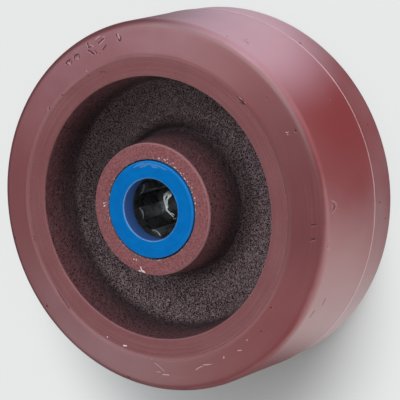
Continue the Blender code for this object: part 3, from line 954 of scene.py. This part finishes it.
cage = draw_section("nylon_cage", (
    (cage_bore, cage_low.z, cage_rounding, 2),
    (cage_radius, cage_low.z, cage_rounding, 2),
    (cage_radius, cage_high.z, cage_rounding, 2),
    (cage_bore, cage_high.z, cage_rounding, 2),
))
spin_section(cage, cage_sides, 40.0)
for index in range(roller_count):
    turned = 2 * math.pi * index / roller_count
    bpy.ops.object.select_all(action="DESELECT")
    bpy.ops.mesh.primitive_cylinder_add(
        vertices=48, radius=pocket_radius, depth=pocket_length,
        location=(pitch_radius * math.cos(turned), pitch_radius * math.sin(turned), 0),
    )
    pocket = bpy.context.object
    bpy.context.view_layer.objects.active = cage
    cut = cage.modifiers.new("pocket", "BOOLEAN")
    cut.operation = "DIFFERENCE"
    cut.object = pocket
    bpy.ops.object.modifier_apply(modifier="pocket")
    bpy.data.objects.remove(pocket)
bpy.ops.object.select_all(action="DESELECT")
cage.select_set(True)
softened = cage.modifiers.new("pocket_edges", "BEVEL")
softened.width = pocket_edge
softened.segments = 2
softened.limit_method = "ANGLE"
softened.angle_limit = math.radians(40)
bpy.ops.object.modifier_apply(modifier="pocket_edges")
bpy.ops.object.shade_smooth_by_angle(angle=math.radians(35))

black_nylon, tree, shader, where = make_finish("greasy_black_nylon")
clouds = lumps_of(tree, where, 3 * MM, 3.0, 0.6)
crumbs = lumps_of(tree, where, 0.5 * MM, 3.0, 0.7)
colour = mixed(tree, fade(tree, clouds, 0.35, 0.65), nylon_black, nylon_grey)
colour = mixed(tree, fade(tree, crumbs, 0.56, 0.70, last=0.7), colour, nylon_crumbs)
tree.links.new(colour, shader.inputs["Base Color"])
tree.links.new(fade(tree, clouds, 0.3, 0.7, 0.22, 0.50), shader.inputs["Roughness"])
tree.links.new(relief(tree, crumbs, 0.05 * MM), shader.inputs["Normal"])
cage.data.materials.append(black_nylon)
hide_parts("roller_cage")
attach(cage, "cage")

# Rollers. Eight ground steel pins with rounded ends lie in the cage's pockets and
# stand out of them on both sides. Oil has darkened them, and a painted highlight
# lines the rims of their ends.
roller_rounding = 0.4 * MM
roller_sides = 64
roller_dimple = 1.1 * MM
roller_dimple_depth = 0.25 * MM
steel_dark = (0.13, 0.14, 0.145)
steel_pale = (0.34, 0.37, 0.38)
steel_glint = (0.86, 0.88, 0.84)

steel, tree, shader, where = make_finish("oily_steel")
# A painted highlight along the rims of the ends.
bright = add_node(tree, "ShaderNodeAttribute", [], 2, attribute_name="painted_edge_glint")
stains = lumps_of(tree, where, 2.5 * MM, 3.0, 0.6)
scratches = add_node(tree, "ShaderNodeVectorMath", [where, (1, 1, 0.06)], operation="MULTIPLY")
scratches = lumps_of(tree, scratches, 0.35 * MM, 3.0, 0.7)
colour = mixed(tree, fade(tree, stains, 0.35, 0.65), steel_dark, steel_pale)
bright = reckon(tree, "MULTIPLY", bright, fade(tree, stains, 0.2, 0.6, 0.4, 1.0))
colour = mixed(tree, bright, colour, steel_glint)
tree.links.new(colour, shader.inputs["Base Color"])
shader.inputs["Metallic"].default_value = 0.7
tree.links.new(fade(tree, stains, 0.3, 0.7, 0.48, 0.30), shader.inputs["Roughness"])
tree.links.new(relief(tree, scratches, 0.01 * MM), shader.inputs["Normal"])

bpy.ops.object.select_all(action="DESELECT")
bpy.ops.mesh.primitive_cylinder_add(
    vertices=roller_sides, radius=roller_radius, depth=roller_length, end_fill_type="NGON",
)
pattern = bpy.context.object
bpy.ops.object.mode_set(mode="EDIT")
bpy.ops.mesh.select_mode(type="FACE")
for side in (1, -1):
    bpy.ops.mesh.select_all(action="DESELECT")
    for face in bmesh.from_edit_mesh(pattern.data).faces:
        face.select = face.normal.z * side > 0.9
    bmesh.update_edit_mesh(pattern.data)
    bpy.ops.mesh.inset(thickness=roller_radius - roller_dimple, use_even_offset=False)
    bpy.ops.mesh.inset(thickness=0.3 * MM, depth=-roller_dimple_depth, use_even_offset=False)
bpy.ops.mesh.select_mode(type="EDGE")
bpy.ops.mesh.select_all(action="DESELECT")
for edge in bmesh.from_edit_mesh(pattern.data).edges:
    on_rim_of_end = all(
        math.hypot(vertex.co.x, vertex.co.y) > roller_radius * 0.99 for vertex in edge.verts
    ) and abs(edge.verts[0].co.z - edge.verts[1].co.z) < MM / 100
    edge.select = on_rim_of_end
bmesh.update_edit_mesh(pattern.data)
bpy.ops.mesh.bevel(offset=roller_rounding, segments=4)
bpy.ops.object.mode_set(mode="OBJECT")
bpy.ops.object.shade_smooth_by_angle(angle=math.radians(30))
# The painted highlight's place: the rims of the ends, kept as an attribute.
painted_edge_glint = pattern.data.attributes.new("painted_edge_glint", "FLOAT", "POINT")
for point in pattern.data.vertices:
    from_edge = roller_radius - math.hypot(point.co.x, point.co.y)
    from_end = roller_length / 2 - abs(point.co.z)
    on_edge = from_edge < roller_rounding * 0.55 and from_end < roller_rounding * 0.55
    painted_edge_glint.data[point.index].value = 1.0 if on_edge else 0.0

for number in range(1, roller_count + 1):
    turned = 2 * math.pi * (number - 1) / roller_count
    bpy.ops.object.select_all(action="DESELECT")
    pattern.select_set(True)
    bpy.context.view_layer.objects.active = pattern
    bpy.ops.object.duplicate(linked=False)
    roller = bpy.context.object
    roller.name = f"steel_roller_{number}"
    roller.location = (pitch_radius * math.cos(turned), pitch_radius * math.sin(turned), 0)
    roller.rotation_euler = (0, 0, 2.4 * number)
    bpy.ops.object.transform_apply(location=True, rotation=True)
    roller.data.materials.append(steel)
    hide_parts(f"roller_{number}")
    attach(roller, f"roller_{number}")
bpy.data.objects.remove(pattern)

# Grease. Whitish grease has been pressed out on to the cage's inner wall and over
# the roller beside it, and has set there in torn beads.
grease_beads = (
    # angle in degrees, radius, height and half the bead's width in millimetres
    (
        (63.5, 10.45, 1.0, 0.30), (66.0, 10.30, 2.4, 0.80), (68.5, 10.25, 3.7, 0.75),
        (72.5, 10.25, 4.5, 0.50), (77.5, 10.15, 4.7, 0.45), (81.0, 9.85, 5.0, 0.42),
        (84.6, 9.55, 5.3, 0.44), (88.0, 9.48, 5.2, 0.58), (91.0, 9.40, 5.1, 0.70),
        (94.0, 9.52, 5.5, 0.46), (97.0, 9.58, 5.9, 0.50), (100.0, 9.88, 5.4, 0.60),
        (103.0, 10.15, 4.5, 0.54), (107.0, 10.28, 3.9, 0.40), (111.8, 10.30, 3.5, 0.36),
        (115.5, 10.35, 3.4, 0.18),
    ),
    (
        (65.5, 10.40, 0.1, 0.35), (69.0, 10.25, 0.9, 0.90), (71.5, 10.20, 1.1, 1.00),
        (74.8, 10.25, 1.5, 0.70), (77.0, 10.18, 2.8, 0.44), (79.5, 9.98, 3.4, 0.36),
        (81.4, 9.58, 4.2, 0.32), (85.0, 9.53, 4.4, 0.26), (88.0, 9.50, 4.5, 0.15),
    ),
    (
        (104.0, 10.35, 3.4, 0.15), (107.0, 10.30, 2.6, 0.28), (110.0, 10.30, 2.4, 0.26),
        (112.1, 10.35, 2.3, 0.12),
    ),
    (
        (116.8, 10.40, 4.4, 0.12), (118.5, 10.30, 3.9, 0.30), (119.2, 10.30, 3.2, 0.34),
        (118.5, 10.35, 2.4, 0.14),
    ),
)
grease_colour = (0.93, 0.95, 0.92)
grease_dirt = (0.20, 0.19, 0.18)
grease_sides = 10

old_grease, tree, shader, where = make_finish("old_grease")
crumbs = lumps_of(tree, where, 0.4 * MM, 3.0, 0.7)
colour = mixed(tree, fade(tree, crumbs, 0.60, 0.80, last=0.5), grease_colour, grease_dirt)
tree.links.new(colour, shader.inputs["Base Color"])
tree.links.new(fade(tree, crumbs, 0.3, 0.7, 0.20, 0.35), shader.inputs["Roughness"])
shader.inputs["Specular IOR Level"].default_value = 1.0
shader.inputs["Coat Weight"].default_value = 1.0
shader.inputs["Coat Roughness"].default_value = 0.3
tree.links.new(relief(tree, crumbs, 0.08 * MM), shader.inputs["Normal"])

for number, bead in enumerate(grease_beads, 1):
    first_angle, first_radius, first_height, first_width = bead[0]
    bpy.ops.object.select_all(action="DESELECT")
    bpy.ops.mesh.primitive_circle_add(
        vertices=grease_sides, radius=first_width * MM, fill_type="NGON",
        location=on_wheel(first_angle, first_radius, first_height),
        rotation=(math.pi / 2, 0, math.radians(first_angle)),
    )
    grease = bpy.context.object
    grease.name = f"grease_bead_{number}"
    bpy.ops.object.transform_apply(location=True, rotation=True)
    bpy.ops.object.mode_set(mode="EDIT")
    bpy.ops.mesh.select_mode(type="FACE")
    for start, end in zip(bead, bead[1:]):
        middle = on_wheel(*end[:3])
        step = middle - on_wheel(*start[:3])
        swell = end[3] / start[3]
        bpy.ops.mesh.extrude_region_move(TRANSFORM_OT_translate={"value": step})
        bpy.ops.transform.resize(value=(swell, swell, swell), center_override=middle)
    bpy.ops.mesh.select_all(action="SELECT")
    bpy.ops.mesh.normals_make_consistent(inside=False)
    bpy.ops.object.mode_set(mode="OBJECT")
    rounder = grease.modifiers.new("rounder", "SUBSURF")
    rounder.levels = 3
    rounder.render_levels = 3
    bpy.ops.object.modifier_apply(modifier="rounder")
    make_uneven(grease, f"torn_edge_{number}", 0.7 * MM, 0.35 * MM, rest=0.6)
    bpy.ops.object.shade_smooth()
    grease.data.materials.append(old_grease)
    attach(grease, "cage")
